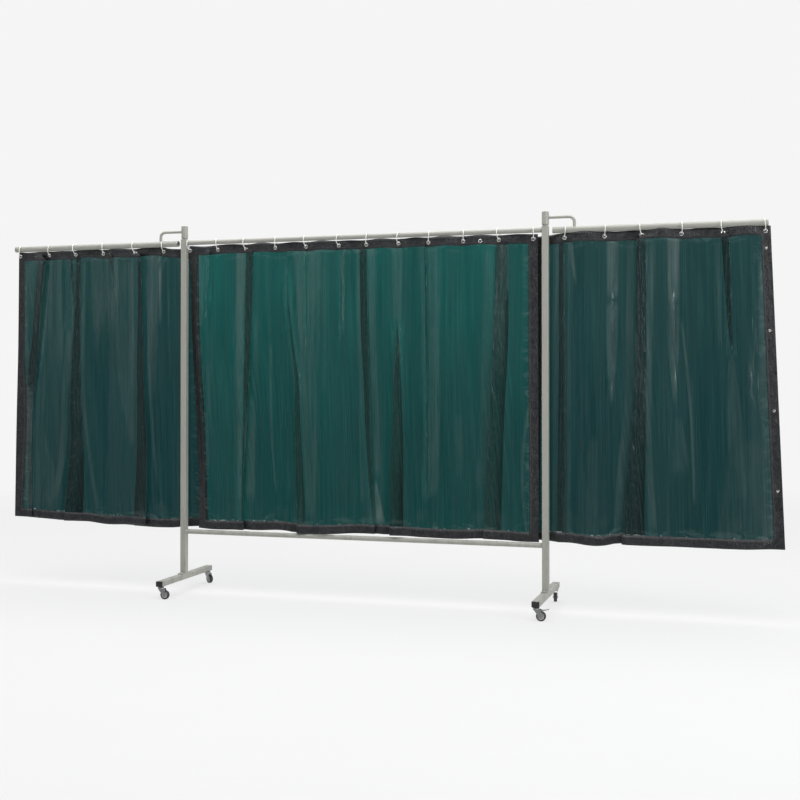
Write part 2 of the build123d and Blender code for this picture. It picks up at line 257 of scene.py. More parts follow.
def rubber_tread():
    m = Nodes("soft_rubber_tread")
    dust = m.noise(m.place(), 110, 6, 0.7, 0.5)
    fine = m.noise(m.place(), 1500, 2)
    tone = m.colour(m.levels(dust, 0.42, 0.8), (0.021, 0.021, 0.021), (0.105, 0.1, 0.092))
    normal = m.bump(fine, 0.0001, 0.5)
    return m.set(colour=tone, rough=m.levels(dust, 0.3, 0.7, 0.55, 0.8), normal=normal)


# Painted reflection: a pale sheen colour added to the film's colour.
PAINTED_SHEEN = (0.078, 0.094, 0.089)
# Painted highlights: pale glints added on the ripples inside the folds.
FOLD_PAINTED_GLINTS = (0.018, 0.024, 0.023)
MOST_CLOSED = 0.97


def green_film(name, clear, deep, body, top_backlit_tint, fold_body):
    """Soft PVC film: most of what shows is light that comes through it, less where it is folded."""
    m = Nodes(name)
    fine = m.sheet_noise(210, 1.6, 4, 0.6)
    streaks = m.sheet_noise(52, 0.9, 5, 0.62, 0.35)
    broad = m.sheet_noise(5, 1.3, 3, 0.5, 0.4)
    crinkle = m.sheet_noise(46, 17, 5, 0.62, 1.3)
    where = m.levels(m.sheet_noise(7, 2.1, 3, 0.5, 0.6), 0.52, 0.7)
    scuffs = m.levels(m.sheet_noise(330, 2.6, 6, 0.72, 0.15), 0.66, 0.78)
    scuffs = m.math("MULTIPLY", scuffs, m.levels(m.sheet_noise(9, 1.1), 0.42, 0.62))
    # The tint is painted lighter towards the top of the sheet: painted backlight, as if brighter light were
    # behind the upper film.
    depth = m.levels(m.axis(m.place(uv="cut"), "Y"), 0.0, 1.1)

    tint = m.colour(depth, top_backlit_tint, clear)
    tint = m.colour(m.levels(broad, 0.3, 0.75, 0, 0.55), tint, deep)
    tint = m.colour(m.levels(streaks, 0.35, 0.72, 0, 0.5), tint, deep)
    surface = m.colour(m.levels(fine, 0.42, 0.72), body, [3.2 * c for c in body])
    surface = m.colour(m.math("MULTIPLY", scuffs, 0.4), surface, (0.1, 0.14, 0.13))

    # Painted reflection: pale sheen streaks beside the folds, broken up by noise.
    combed = m.sheet_noise(150, 1.3, 5, 0.66, 0.2)
    sheen_streak = m.math("MULTIPLY", m.attribute("sheen_streak"), m.levels(combed, 0.32, 0.68, 0.45, 1.3))
    uneven = m.sheet_noise(17, 3.2, 4, 0.6, 0.7)
    sheen_streak = m.math("MULTIPLY", sheen_streak, m.levels(uneven, 0.35, 0.62, 0.5, 1.15))
    surface = m.colour(m.math("MULTIPLY", sheen_streak, 0.33), surface, PAINTED_SHEEN, "ADD")

    folded = m.attribute("folded")
    # Painted highlights on the folds: pale glints where the ripples and threads run.
    ripples = m.sheet_noise(95, 24, 4, 0.6, 0.8, turn=0.5)
    threads = m.sheet_noise(170, 2.2, 5, 0.7, 0.3)
    light = m.math("MAXIMUM", m.levels(ripples, 0.52, 0.72, 0, 0.6), m.levels(threads, 0.55, 0.7))
    surface = m.colour(folded, surface, fold_body, "ADD")
    surface = m.colour(m.math("MULTIPLY", folded, light), surface, FOLD_PAINTED_GLINTS, "ADD")

    broken = m.levels(m.sheet_noise(60, 6, 5, 0.7, 0.5), 0.3, 0.62, 0.35, 1)
    pale = m.math("MULTIPLY", m.attribute("crease"), broken)
    surface = m.colour(m.math("MULTIPLY", pale, 0.7), surface, (0.085, 0.115, 0.11))

    # Painted reflection: the film gets a pale sheen in a band beside the whole hem, and painted white glints
    # in patches beside its top and bottom.
    edge, end = m.attribute("from_edge"), m.attribute("from_end")
    hem_band_sheen = m.math("MULTIPLY", m.levels(edge, 0.05, 0.0505), m.levels(edge, 0.1, 0.055))
    sheen_breakup = m.levels(m.sheet_noise(11, 26, 4, 0.6, 0.8), 0.5, 0.66)
    hem_band_sheen = m.math("MULTIPLY", hem_band_sheen, sheen_breakup)
    surface = m.colour(m.math("MULTIPLY", hem_band_sheen, 0.5), surface, PAINTED_SHEEN, "ADD")
    # Painted highlights: white glints in patches beside the top and bottom hems.
    beside_hem = m.math("MULTIPLY", m.levels(end, 0.05, 0.0508), m.levels(end, 0.0585, 0.0525))
    hem_glints = m.math("MULTIPLY", beside_hem, m.levels(m.sheet_noise(17, 17, 5, 0.7, 1.5), 0.56, 0.63))
    surface = m.colour(hem_glints, surface, (0.42, 0.46, 0.45))

    rough = m.levels(streaks, 0.3, 0.7, 0.09, 0.2)
    rough = m.math("ADD", rough, m.math("MULTIPLY", scuffs, 0.25))
    normal = m.bump(fine, 0.0007, 0.35)
    normal = m.bump(streaks, 0.005, 0.35, normal)
    normal = m.bump(m.math("MULTIPLY", crinkle, where), 0.006, 0.45, normal)
    normal = m.bump(m.math("MULTIPLY", ripples, folded), 0.01, 0.6, normal)
    m.set(colour=surface, rough=rough, normal=normal, specular=0.4)

    through = m.node("ShaderNodeBsdfTransparent")
    m.link(tint, through.inputs["Color"])
    closed = m.levels(m.sheet_noise(2, 0.6, 2), 0.3, 0.7, 0.865, 0.885)
    closed = m.math("ADD", closed, m.math("MULTIPLY", m.math("MAXIMUM", scuffs, pale), 0.04))
    # The painted sheen streaks also make the film a little less see-through.
    closed = m.math("ADD", closed, m.math("MULTIPLY", sheen_streak, 0.018))
    # The painted glints are made nearly opaque.
    closed = m.math("MAXIMUM", closed, m.math("MULTIPLY", hem_glints, MOST_CLOSED))
    m.surface(m.math("MINIMUM", closed, MOST_CLOSED), through.outputs[0], m.shader.outputs[0])
    return m.material


def black_hem_film():
    """Embossed black film, with a ribbed weld along its inner edge."""
    m = Nodes("black_welded_hem_film")
    ribs = m.sheet_noise(70, 70, 4, 0.6, 1.1)
    along_weld = m.sheet_noise(9, 9, 3, 0.6)
    grain = m.sheet_noise(900, 900, 2)
    dust = m.sheet_noise(30, 30, 6, 0.7, 0.4)
    slant = m.sheet_noise(55, 18, 4, 0.6, 1.4, turn=0.6)
    edge = m.attribute("from_edge")
    weld = m.math("PINGPONG", m.math("ADD", edge, 0.0015), 0.0045)
    in_weld = m.levels(m.math("ABSOLUTE", m.math("SUBTRACT", edge, 0.0435)), 0.0035, 0.0028)
    tone = m.colour(m.levels(dust, 0.45, 0.8), (0.0105, 0.0115, 0.0135), (0.04, 0.042, 0.045))
    tone = m.colour(m.math("MULTIPLY", in_weld, 0.35), tone, (0.05, 0.05, 0.052))
    rough = m.levels(ribs, 0.3, 0.7, 0.2, 0.44)
    rough = m.math("ADD", rough, m.math("MULTIPLY", in_weld, 0.12))
    normal = m.bump(grain, 0.0001, 0.4)
    normal = m.bump(ribs, 0.005, 0.55, normal)
    normal = m.bump(slant, 0.009, 0.6, normal)
    normal = m.bump(m.math("MULTIPLY", weld, in_weld), 0.5, 0.5, normal)
    normal = m.bump(along_weld, 0.01, 0.25, normal)
    return m.set(colour=tone, rough=rough, normal=normal, specular=0.5)


PAINT = powder_coat()
WELD = weld_paint()
ZINC = zinc_plate()
NICKEL = nickel_plate()
BLACK_STEEL = satin_black_steel()
BLACK_PLASTIC = moulded("black_moulded_plastic", (0.014, 0.014, 0.015), (0.042, 0.041, 0.04), 0.38, 700)
GREY_PLASTIC = moulded("grey_moulded_plastic", (0.36, 0.36, 0.35), (0.5, 0.5, 0.485), 0.4)
WHITE_PLASTIC = moulded("white_nylon", (0.74, 0.735, 0.7), (0.86, 0.86, 0.84), 0.26, 500, 0.00006)
RUBBER = rubber_tread()
# One film in two copies: the centre's clearer, greener tint is painted backlight and the arms' darker, bluer
# tint is painted shade.
BACKLIT_CENTRE_FILM = green_film("green_film_centre_painted_backlight", clear=(0.025, 0.35, 0.325), deep=(0.025, 0.24, 0.235),
                         body=(0.0035, 0.0125, 0.012), top_backlit_tint=(0.06, 0.8, 0.7),
                         fold_body=(0.0, 0.0165, 0.0135))
SHADED_ARM_FILM = green_film("green_film_arms_painted_shade", clear=(0.035, 0.25, 0.265), deep=(0.025, 0.175, 0.19),
                      body=(0.004, 0.0105, 0.0105), top_backlit_tint=(0.1, 0.43, 0.42),
                      fold_body=(0.0, 0.006, 0.0065))
HEM = black_hem_film()

BY_SLOT = {"frame_paint": PAINT, "zinc": ZINC, "nickel": NICKEL, "black_steel": BLACK_STEEL,
           "black_plastic": BLACK_PLASTIC, "grey_plastic": GREY_PLASTIC, "white_plastic": WHITE_PLASTIC,
           "rubber": RUBBER, "green_film": BACKLIT_CENTRE_FILM, "black_hem": HEM}


def paint_cad_nodes():
    """Give every CAD node the material of its slot, and the welds their own."""
    for subpart in frame["record"]["subparts"]:
        node = frame["nodes"].get(subpart.get("node") or subpart.get("name"))
        if node is None:
            continue
        material = WELD if "weld" in node.name else BY_SLOT[subpart["material_slot"]]
        node.data.materials.clear()
        node.data.materials.append(material)


# ---------------------------------------------------------------- mesh helpers
def new_piece(name, points, faces, material, body, slot, smooth=True):
    mesh = bpy.data.meshes.new(name)
    mesh.from_pydata([tuple(p) for p in points], [], [tuple(f) for f in faces])
    mesh.validate()
    mesh.update()
    mesh.materials.append(material)
    if smooth:
        mesh.shade_smooth()
    piece = bpy.data.objects.new(name, mesh)
    bpy.context.scene.collection.objects.link(piece)
    if body:
        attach(piece, body)
    return piece


def curve_through(knots, at):
    """Smooth (Catmull-Rom) value at positions `at` through (position, value) knots."""
    knots = sorted(knots)
    xs, ys = np.array([k[0] for k in knots], float), np.array([k[1] for k in knots], float)
    at = np.clip(at, xs[0], xs[-1])
    slopes = np.gradient(ys, xs) if len(xs) > 2 else np.full(2, (ys[1] - ys[0]) / (xs[1] - xs[0]))
    i = np.clip(np.searchsorted(xs, at, side="right") - 1, 0, len(xs) - 2)
    step = xs[i + 1] - xs[i]
    t = (at - xs[i]) / step
    return ((2 * t**3 - 3 * t**2 + 1) * ys[i] + (t**3 - 2 * t**2 + t) * step * slopes[i]
            + (3 * t**2 - 2 * t**3) * ys[i + 1] + (t**3 - t**2) * step * slopes[i + 1])


def ease(low, high, value):
    t = np.clip((value - low) / (high - low), 0, 1)
    return t * t * (3 - 2 * t)


def soft_noise(x, y, seed):
    """Smooth value noise in -1..1 on a unit lattice, the same on every run."""
    def lattice(i, j):
        n = np.sin(i * 127.1 + j * 311.7 + seed * 74.7) * 43758.5453
        return 2 * (n - np.floor(n)) - 1
    i, j = np.floor(x), np.floor(y)
    u, v = x - i, y - j
    u, v = u * u * u * (u * (6 * u - 15) + 10), v * v * v * (v * (6 * v - 15) + 10)
    low = lattice(i, j) * (1 - u) + lattice(i + 1, j) * u
    high = lattice(i, j + 1) * (1 - u) + lattice(i + 1, j + 1) * u
    return low * (1 - v) + high * v


def facets(x, y, seed):
    """Like soft_noise, but straight between its creases across x, as stiff film is."""
    def lattice(i, j):
        n = np.sin(i * 91.7 + j * 213.3 + seed * 51.9) * 24634.6345
        return 2 * (n - np.floor(n)) - 1
    i, j = np.floor(x), np.floor(y)
    u, v = x - i, y - j
    v = v * v * (3 - 2 * v)
    low = lattice(i, j) * (1 - u) + lattice(i + 1, j) * u
    high = lattice(i, j + 1) * (1 - u) + lattice(i + 1, j + 1) * u
    return low * (1 - v) + high * v


# ---------------------------------------------------------------- curtains
HEM_WIDTH = 50.0
HEM_THICKNESS = 2.6
EYELET_Z = 1958.9
ROW_STEP = 11.0
COLUMN_STEP = 7.0
EDGE_STEP = 4.0
FOLD_STEP = 2.6
TOP_LEVEL = 1980.0
DROP = 1612.0
RINGS_APART = 60.0
FOLDS_FADE = (1938, 1962)      # heights in the top hem between which the folds fade out
FOLD_BEGINS = 0.318            # strength from which the film doubles back on itself
CREASE_WIDTH = 3.2
# How far the film goes back as it passes behind a post: (distance inwards from the post, place back).
BEHIND_POST = [(-110, 0), (-75, 2), (-52, 8), (-36, 18), (-22, 26), (0, 32), (40, 35), (110, 36)]


def ring_places(curtain):
    """Places of a curtain's rings along its rail in the CAD, from left to right."""
    node = frame["nodes"][f"{curtain}_rings"]
    xs = np.sort([(node.matrix_world @ vertex.co).x / MM for vertex in node.data.vertices])
    rings = np.split(xs, np.flatnonzero(np.diff(xs) > RINGS_APART) + 1)
    return [round(float(ring[0] + ring[-1]) / 2) for ring in rings]


def scallops(rings, level, humps):
    """A top edge that is at one level at each ring, with a hump between each two rings."""
    middles = [((a + b) / 2, level + hump) for a, b, hump in zip(rings, rings[1:], humps)]
    return [(x, level) for x in rings] + middles


class Curtain:
    """One hung curtain: x across, y towards the back, z up.

    Its numbers are in millimetres; what build and front_at give is in metres.

    left and right are [(z, x), ...], left_curl is [(z, place back), ...], and bottom and beside_post
    are [(x, z), ...].
    folds are (half length of cloth taken up, side, [(z, x, width of the three layers, depth), ...]), where
    a negative width is an open fold, and sheen_streaks, the streaks of painted reflection, are (strength,
    [(z, x, half width), ...]).
    """

    def __init__(self, name, left, right, ring_level, humps, bottom, bows, folds, sheen_streaks, waves, seed,
                 beside_post=(), post_x=None, left_curl=None, spare_eyelets=()):
        self.name, self.left, self.right = name, left, right
        self.rings = ring_places(name)
        self.top = scallops(self.rings, ring_level, humps) + list(beside_post)
        self.bottom, self.bows, self.folds, self.waves = bottom, bows, folds, waves
        self.seed, self.post_x, self.sheen_streaks = seed, post_x, sheen_streaks
        self.left_curl, self.spare_eyelets = left_curl, spare_eyelets

    def columns(self):
        """Positions across, from 0 to 1, closer together at the folds and near the side edges."""
        z = np.linspace(400, 1960, 30)
        left, right = curve_through(self.left, z), curve_through(self.right, z)
        width = float((right - left).mean())
        places, x = [0.0], 0.0
        spans = []
        for half, _, knots in self.folds:
            centre = curve_through([(k[0], k[1]) for k in knots], z)
            u = (centre - left) / (right - left)
            spans.append((u.min() - 0.8 * half / width, u.max() + 0.8 * half / width))
        while x < 1.0:
            fine = any(low < x < high for low, high in spans)
            edge = min(x, 1 - x) * width < HEM_WIDTH + 6
            x += (FOLD_STEP if fine else EDGE_STEP if edge else COLUMN_STEP) / width
            places.append(min(x, 1.0))
        if places[-1] - places[-2] < 0.5 * FOLD_STEP / width:
            places.pop(-2)
        places = np.array(places)
        for mark in (HEM_WIDTH / width, 1 - HEM_WIDTH / width):
            places[np.abs(places - mark).argmin()] = mark
        return places

    def rows(self):
        """Positions down, from 0 to 1, with one on each hem's inner edge."""
        places = np.linspace(0, 1, int(DROP / ROW_STEP))
        for mark in (HEM_WIDTH / DROP, 1 - HEM_WIDTH / DROP):
            places[np.abs(places - mark).argmin()] = mark
        return places

    def sway(self, flat_x, z):
        """How far the hung film stands back: bows between rings, waves, flat facets and crinkles."""
        lower = ease(1975, 1100, z)
        y = np.zeros_like(z)
        for a, b, bow in zip(self.rings, self.rings[1:], self.bows):
            t = np.clip((flat_x - a) / (b - a), 0, 1)
            y += bow * np.sin(np.pi * t) ** 2 * (1 - 0.85 * ease(1900, 900, z))
        for length, size, phase, lean in self.waves:
            along = (flat_x + lean * (TOP_LEVEL - z)) / length
            y += size * (0.12 + 0.88 * lower) * lower * np.sin(2 * np.pi * along + phase)
        y += 7.0 * lower * soft_noise(flat_x / 130, z / 900, self.seed + 1)
        row = np.full_like(z, 7)
        leaning = flat_x + 0.05 * (z - 1200) * soft_noise(flat_x / 400, row, self.seed + 9)
        y += (1.5 + 4.5 * lower) * facets(leaning / 82, z / 1500, self.seed + 4)
        y += (0.8 + 0.9 * lower) * facets(leaning / 31, z / 700, self.seed + 5)
        y += (0.3 + 0.5 * lower) * soft_noise(flat_x / 26, z / 420, self.seed + 2)
        y += (0.25 + 0.5 * lower) * soft_noise(flat_x / 14, z / 90, self.seed + 3)
        return y

    def fold_up(self, flat_x, y, z):
        """Lay the film into its folds; keeps where its creases and folded parts are in self.looks."""
        x = flat_x.copy()
        crease, folded_in = np.zeros_like(x), np.zeros_like(x)
        taper = 1 - ease(*FOLDS_FADE, z)
        for half, side, knots in self.folds:
            middle, width, depth = (curve_through([(k[0], k[n]) for k in knots], z) for n in (1, 2, 3))
            q = np.clip((flat_x - middle) / half, -1, 1)
            strength = np.clip(0.33 + width / (1.3 * half), 0, 1.15) * taper
            window = 1 - q * q
            folded = ease(0.3, 0.42, strength)
            turn = 0.38 * np.sqrt(np.clip(1 - FOLD_BEGINS / np.maximum(strength, 0.01), 0, 1))
            crease = np.maximum(crease, folded * np.exp(-((np.abs(q) - turn) * half / CREASE_WIDTH) ** 2))
            inside = folded * ease(0.62, 0.3, np.abs(q))
            folded_in = np.maximum(folded_in, folded * ease(0.8, 0.6, np.abs(q)))
            slanting = soft_noise((flat_x + 0.35 * z) / 17, (z - 1.6 * flat_x) / 75, self.seed + 6)
            y = y + inside * 3.4 * slanting
            y += inside * 1.6 * soft_noise(flat_x / 6, z / 210, self.seed + 7)
            x -= half * strength * np.sin(np.pi * q) * window
            y += side * depth * np.sin(np.pi * q) * window * np.clip(strength * 1.6, 0, 1)
        self.looks = {"crease": crease, "folded": folded_in}
        return x, y

    def sheen_streak_at(self, x, z):
        """How strong the pale streaks of painted reflection (sheen) are at places on the hung film."""
        sheen_streak = np.zeros_like(x)
        for strength, knots in self.sheen_streaks:
            lowest, highest = knots[0][0], knots[-1][0]
            middle, half = (curve_through([(k[0], k[n]) for k in knots], z) for n in (1, 2))
            half = np.maximum(half, 1)
            ends = ease(lowest - 40, lowest + 40, z) * ease(highest + 40, highest - 20, z)
            across = ease(1.0 + 5 / half, 0.8 - 3 / half, np.abs(x - middle) / half)
            sheen_streak = np.maximum(sheen_streak, strength * ends * across)
        return sheen_streak

    def surface(self, u, v):
        """Points (x, y, z) for arrays u across and v down."""
        z_guess = TOP_LEVEL - DROP * v
        left, right = curve_through(self.left, z_guess), curve_through(self.right, z_guess)
        flat_x = left + (right - left) * u
        top, bottom = curve_through(self.top, flat_x), curve_through(self.bottom, flat_x)
        wobble = 2.2 * soft_noise(flat_x / 90, np.full_like(v, 3), self.seed) * (1 - ease(0, 0.1, v))
        z = (top + wobble) * (1 - v) + bottom * v
        x, y = self.fold_up(flat_x, self.sway(flat_x, z), z)
        above_hem = z - bottom - HEM_WIDTH
        puff = ease(110, 25, above_hem) * ease(-30, 10, above_hem)
        swelling = soft_noise(flat_x / 75, np.full_like(v, 5), self.seed + 8)
        y += 7 * puff * np.clip(swelling - 0.1, -0.4, 1)
        near = np.minimum(flat_x - left, right - flat_x)
        y *= 0.25 + 0.75 * ease(0, 90, near)
        if self.left_curl:
            curl = curve_through(self.left_curl, z) * ease(58, 0, flat_x - left)
            x, y = x + 0.2 * curl, y + curl
        if self.post_x is not None:
            gap = (x - self.post_x) * -np.sign(self.post_x)
            y = y * ease(-20, -150, gap) + curve_through(BEHIND_POST, gap)
        self.looks["sheen_streak"] = self.sheen_streak_at(x, z)
        return x, y, z

    def build(self, film_material):
        """Make the film and its hem; returns both pieces."""
        u, v = self.columns(), self.rows()
        uu, vv = np.meshgrid(u, v)
        x, y, z = self.surface(uu, vv)
        grid = np.stack([x, y, z], axis=2) * MM
        across = np.linalg.norm(np.diff(grid, axis=1), axis=2).mean(axis=0)
        down = np.linalg.norm(np.diff(grid, axis=0), axis=2).mean(axis=1)
        s = np.concatenate([[0], np.cumsum(across)])
        t = np.concatenate([[0], np.cumsum(down)])
        self.flat = (float(s[-1]), float(t[-1]))
        rows, cols = grid.shape[:2]
        du, dv = np.gradient(grid, axis=1), np.gradient(grid, axis=0)
        normal = np.cross(du, dv)
        normal /= np.linalg.norm(normal, axis=2, keepdims=True)
        self.grid, self.normal = grid, normal

        index = np.arange(rows * cols).reshape(rows, cols)
        faces = np.stack([index[:-1, :-1], index[1:, :-1], index[1:, 1:], index[:-1, 1:]], axis=2)
        film = new_piece(f"{self.name}_film_sheet", grid.reshape(-1, 3), faces.reshape(-1, 4).tolist(),
                         film_material, None, "green_film")
        self.cut_coordinates(film, np.tile(s, rows), np.repeat(t, cols))
        edge = np.minimum(np.minimum(t, t[-1] - t)[:, None], np.minimum(s, s[-1] - s)[None, :])
        end = np.repeat(np.minimum(t, t[-1] - t)[:, None], cols, axis=1)
        for look, values in {**self.looks, "from_edge": edge, "from_end": end}.items():
            self.keep(film, look, values.ravel())
        hem = self.build_hem(grid, normal, s, t, edge)
        return film, hem

    @staticmethod
    def keep(piece, name, values):
        """Store a number at each of the piece's points, for its material."""
        attribute = piece.data.attributes.new(name, "FLOAT", "POINT")
        attribute.data.foreach_set("value", values.astype(np.float32))

    @staticmethod
    def cut_coordinates(piece, s, t):
        """Store each point's place on the flat sheet, in metres."""
        layer = piece.data.uv_layers.new(name="cut")
        corner = np.zeros(len(piece.data.loops), np.int32)
        piece.data.loops.foreach_get("vertex_index", corner)
        layer.data.foreach_set("uv", np.stack([s[corner], t[corner]], axis=1).ravel())

    def build_hem(self, grid, normal, s, t, edge):
        """A black strip folded round the sheet's edge: a closed band with a front, a back and rims."""
        rows, cols = grid.shape[:2]
        left_in = int(np.searchsorted(s, HEM_WIDTH * MM))
        right_in = cols - 1 - int(np.searchsorted(s[-1] - s[::-1], HEM_WIDTH * MM))
        top_in = int(np.searchsorted(t, HEM_WIDTH * MM - 1e-6))
        bottom_in = rows - 1 - int(np.searchsorted(t[-1] - t[::-1], HEM_WIDTH * MM - 1e-6))
        half = HEM_THICKNESS / 2 * MM
        front, back = grid + normal * half, grid - normal * half
        index = np.arange(rows * cols).reshape(rows, cols)
        in_hem = np.ones((rows - 1, cols - 1), bool)
        in_hem[top_in:bottom_in, left_in:right_in] = False
        points = np.concatenate([front.reshape(-1, 3), back.reshape(-1, 3)])
        count = rows * cols
        faces = []
        cells = np.argwhere(in_hem)
        for i, j in cells:
            a, b, c, d = index[i, j], index[i + 1, j], index[i + 1, j + 1], index[i, j + 1]
            faces.append((a, b, c, d))
            faces.append((d + count, c + count, b + count, a + count))
        def wall(p, q):
            faces.append((p, q, q + count, p + count))
        def is_hem(i, j):
            return 0 <= i < rows - 1 and 0 <= j < cols - 1 and in_hem[i, j]
        for i, j in cells:
            a, b, c, d = index[i, j], index[i + 1, j], index[i + 1, j + 1], index[i, j + 1]
            if not is_hem(i, j - 1):
                wall(b, a)
            if not is_hem(i, j + 1):
                wall(d, c)
            if not is_hem(i - 1, j):
                wall(a, d)
            if not is_hem(i + 1, j):
                wall(c, b)
        used = np.unique(np.array([p for f in faces for p in f]))
        remap = np.full(2 * count, -1)
        remap[used] = np.arange(len(used))
        faces = [tuple(int(remap[p]) for p in face) for face in faces]
        hem = new_piece(f"{self.name}_hem_border", points[used], faces, HEM, None, "black_hem")
        s_all, t_all = np.tile(np.tile(s, rows), 2), np.tile(np.repeat(t, cols), 2)
        self.cut_coordinates(hem, s_all[used], t_all[used])
        self.keep(hem, "from_edge", np.tile(edge.ravel(), 2)[used])
        return hem

    def front_at(self, x, z):
        """The sheet's point nearest to a place, in metres, and its normal towards the front."""
        d = (self.grid[:, :, 0] - x * MM) ** 2 + (self.grid[:, :, 2] - z * MM) ** 2
        i, j = np.unravel_index(int(d.argmin()), d.shape)
        normal = Vector(self.normal[i, j])
        return Vector(self.grid[i, j]), normal if normal.y < 0 else -normal


CENTRE = Curtain(
    "centre",
    left=[(360, -955), (700, -965), (1000, -985), (1500, -1020), (1980, -1020)],
    right=[(360, 1015), (1980, 1010)],
    ring_level=1984,
    humps=[-5] + 10 * [5],
    bottom=[(-960, 366), (-850, 361), (-600, 364), (-420, 368), (-370, 361), (0, 366), (200, 368),
            (400, 361), (560, 359), (780, 367), (860, 360), (1010, 359)],
    bows=[-9, 7, -12, 12, -14, 12, -10, 9, -15, -8, 14],
    folds=[
        (40, 1, [(400, -940, -30, 6), (1450, -925, -20, 6), (1700, -905, 5, 8), (1960, -890, 10, 8)]),
        (75, 1, [(400, -690, 20, 15), (700, -685, 26, 14), (1150, -665, 44, 13), (1600, -650, 52, 12),
                 (1960, -640, 54, 11)]),
        (58, -1, [(400, -325, 46, 17), (1000, -350, 26, 14), (1200, -355, 16, 12), (1500, -395, 8, 9),
                  (1800, -420, 5, 7), (1960, -420, -4, 6)]),
        (34, 1, [(400, -295, -24, 3), (1300, -300, -16, 5), (1500, -300, 3, 6), (1960, -305, 5, 6)]),
        (30, -1, [(400, -80, -24, 3), (1300, -90, -14, 4), (1500, -90, 3, 6), (1960, -90, 5, 6)]),
        (60, 1, [(400, 95, 16, 12), (750, 70, 38, 13), (1150, 55, 44, 12), (1550, 40, 48, 11),
                 (1960, 35, 46, 10)]),
        (72, -1, [(400, 230, 68, 18), (650, 230, 68, 17), (1000, 235, 50, 15), (1300, 235, 32, 12),
                  (1550, 235, 2, 8), (1960, 235, -22, 5)]),
        (32, 1, [(400, 400, -12, 4), (650, 400, 5, 5), (1100, 405, 9, 6), (1450, 400, 15, 8),
                 (1960, 390, 12, 8)]),
        (90, -1, [(400, 760, 92, 18), (900, 780, 78, 17), (1500, 810, 76, 13), (1960, 815, 66, 11)]),
    ],
    sheen_streaks=[
        (0.9, [(550, -705, 12), (1250, -705, 20), (1950, -700, 28)]),
        (0.9, [(550, -645, 34), (1000, -635, 26), (1100, -630, 16)]),
        (1.3, [(600, -480, 5), (850, -505, 6), (1400, -515, 6)]),
        (0.7, [(450, -265, 22), (700, -270, 38), (1100, -280, 50), (1700, -280, 94), (1950, -290, 104)]),
        (0.5, [(1150, -190, 10), (1900, -185, 12)]),
        (1.2, [(1450, -95, 6), (1650, -85, 7), (1900, -95, 7)]),
        (1.0, [(550, 25, 6), (1100, 15, 7), (1900, 5, 7)]),
        (0.9, [(700, 115, 24), (1100, 100, 22), (1950, 80, 24)]),
        (2.8, [(430, 130, 34), (520, 120, 22), (640, 105, 6)]),
        (1.0, [(1550, 235, 26), (1950, 235, 30)]),
        (0.8, [(600, 435, 28), (1000, 445, 34), (1400, 445, 30), (1950, 430, 30)]),
        (0.5, [(700, 585, 20), (1000, 580, 22)]),
        (0.5, [(650, 700, 30), (1100, 725, 32), (1900, 750, 26)]),
        (0.35, [(1250, 800, 34), (1950, 815, 36)]),
        (1.2, [(400, 950, 5), (600, 930, 6), (800, 930, 6), (1000, 950, 6), (1100, 970, 5)]),
        (0.5, [(700, -895, 12), (1300, -890, 14)]),
    ],
    waves=[(610, 11, 0.6, 0.03), (390, 7, 2.1, -0.04)],
    seed=3,
    left_curl=[(360, 0), (500, 6), (900, 25), (1500, 25), (1800, 15), (1940, 0)],
    spare_eyelets=[700],
)
LEFT_ARM = Curtain(
    "left_arm",
    left=[(400, -2180), (1000, -2170), (1400, -2160), (1980, -2155)],
    right=[(400, -915), (1000, -940), (1500, -970), (1980, -980)],
    ring_level=1981,
    humps=[0, 1, 10, 3, 10],
    beside_post=[(-1150, 1974), (-1050, 1973), (-955, 1964)],
    bottom=[(-2180, 393), (-1820, 380), (-1660, 377), (-1590, 366), (-1400, 369), (-1240, 360),
            (-1150, 360), (-1050, 366), (-915, 374)],
    bows=[-12, -9, 13, -10, 14],
    folds=[
        (64, 1, [(400, -2080, 30, 9), (1050, -2080, 48, 11), (1250, -2065, 66, 12), (1400, -2045, 62, 12),
                 (1750, -2010, 66, 12), (1960, -1990, 68, 10)]),
        (40, -1, [(400, -1810, -30, 4), (1400, -1810, -16, 5), (1550, -1810, 8, 7), (1750, -1810, 34, 9),
                  (1960, -1815, 44, 9)]),
        (92, -1, [(400, -1770, 108, 21), (550, -1760, 104, 20), (800, -1750, 84, 17), (1150, -1755, 64, 14),
                  (1400, -1755, 46, 13), (1960, -1745, 28, 10)]),
        (34, 1, [(400, -1500, -24, 4), (1600, -1505, -18, 5), (1800, -1515, 6, 7), (1960, -1530, 34, 9)]),
        (80, 1, [(400, -1330, 92, 18), (800, -1315, 80, 16), (1250, -1330, 56, 13), (1960, -1345, 34, 10)]),
        (26, -1, [(400, -1205, -20, 3), (1960, -1205, -14, 4)]),
    ],
    sheen_streaks=[
        (0.65, [(450, -1990, 66), (650, -1975, 76), (900, -2010, 34), (1150, -2000, 28), (1500, -1990, 20),
                (1850, -1960, 10)]),
        (1.2, [(450, -2085, 28), (1150, -2085, 30)]),
        (0.8, [(1500, -2035, 10), (1950, -1995, 22)]),
        (1.0, [(500, -1910, 25), (750, -1850, 26), (1050, -1830, 22), (1500, -1805, 22)]),
        (1.0, [(450, -1620, 9), (750, -1670, 8), (1050, -1705, 8), (1450, -1715, 8), (1900, -1710, 7)]),
        (0.7, [(850, -1385, 20), (1200, -1425, 58), (1500, -1445, 78), (1900, -1455, 84)]),
        (1.0, [(650, -1225, 7), (1050, -1260, 7), (1800, -1305, 8)]),
        (1.7, [(1550, -1210, 7), (1850, -1210, 9)]),
        (3.0, [(1885, -1240, 3), (1925, -1210, 3)]),
        (2.4, [(1890, -1190, 3), (1920, -1170, 3)]),
        (0.7, [(1350, -2110, 16), (1900, -2090, 22)]),
    ],
    waves=[(520, 12, 1.1, 0.03), (330, 6, 0.2, -0.03)],
    seed=11,
    post_x=-1050,
)
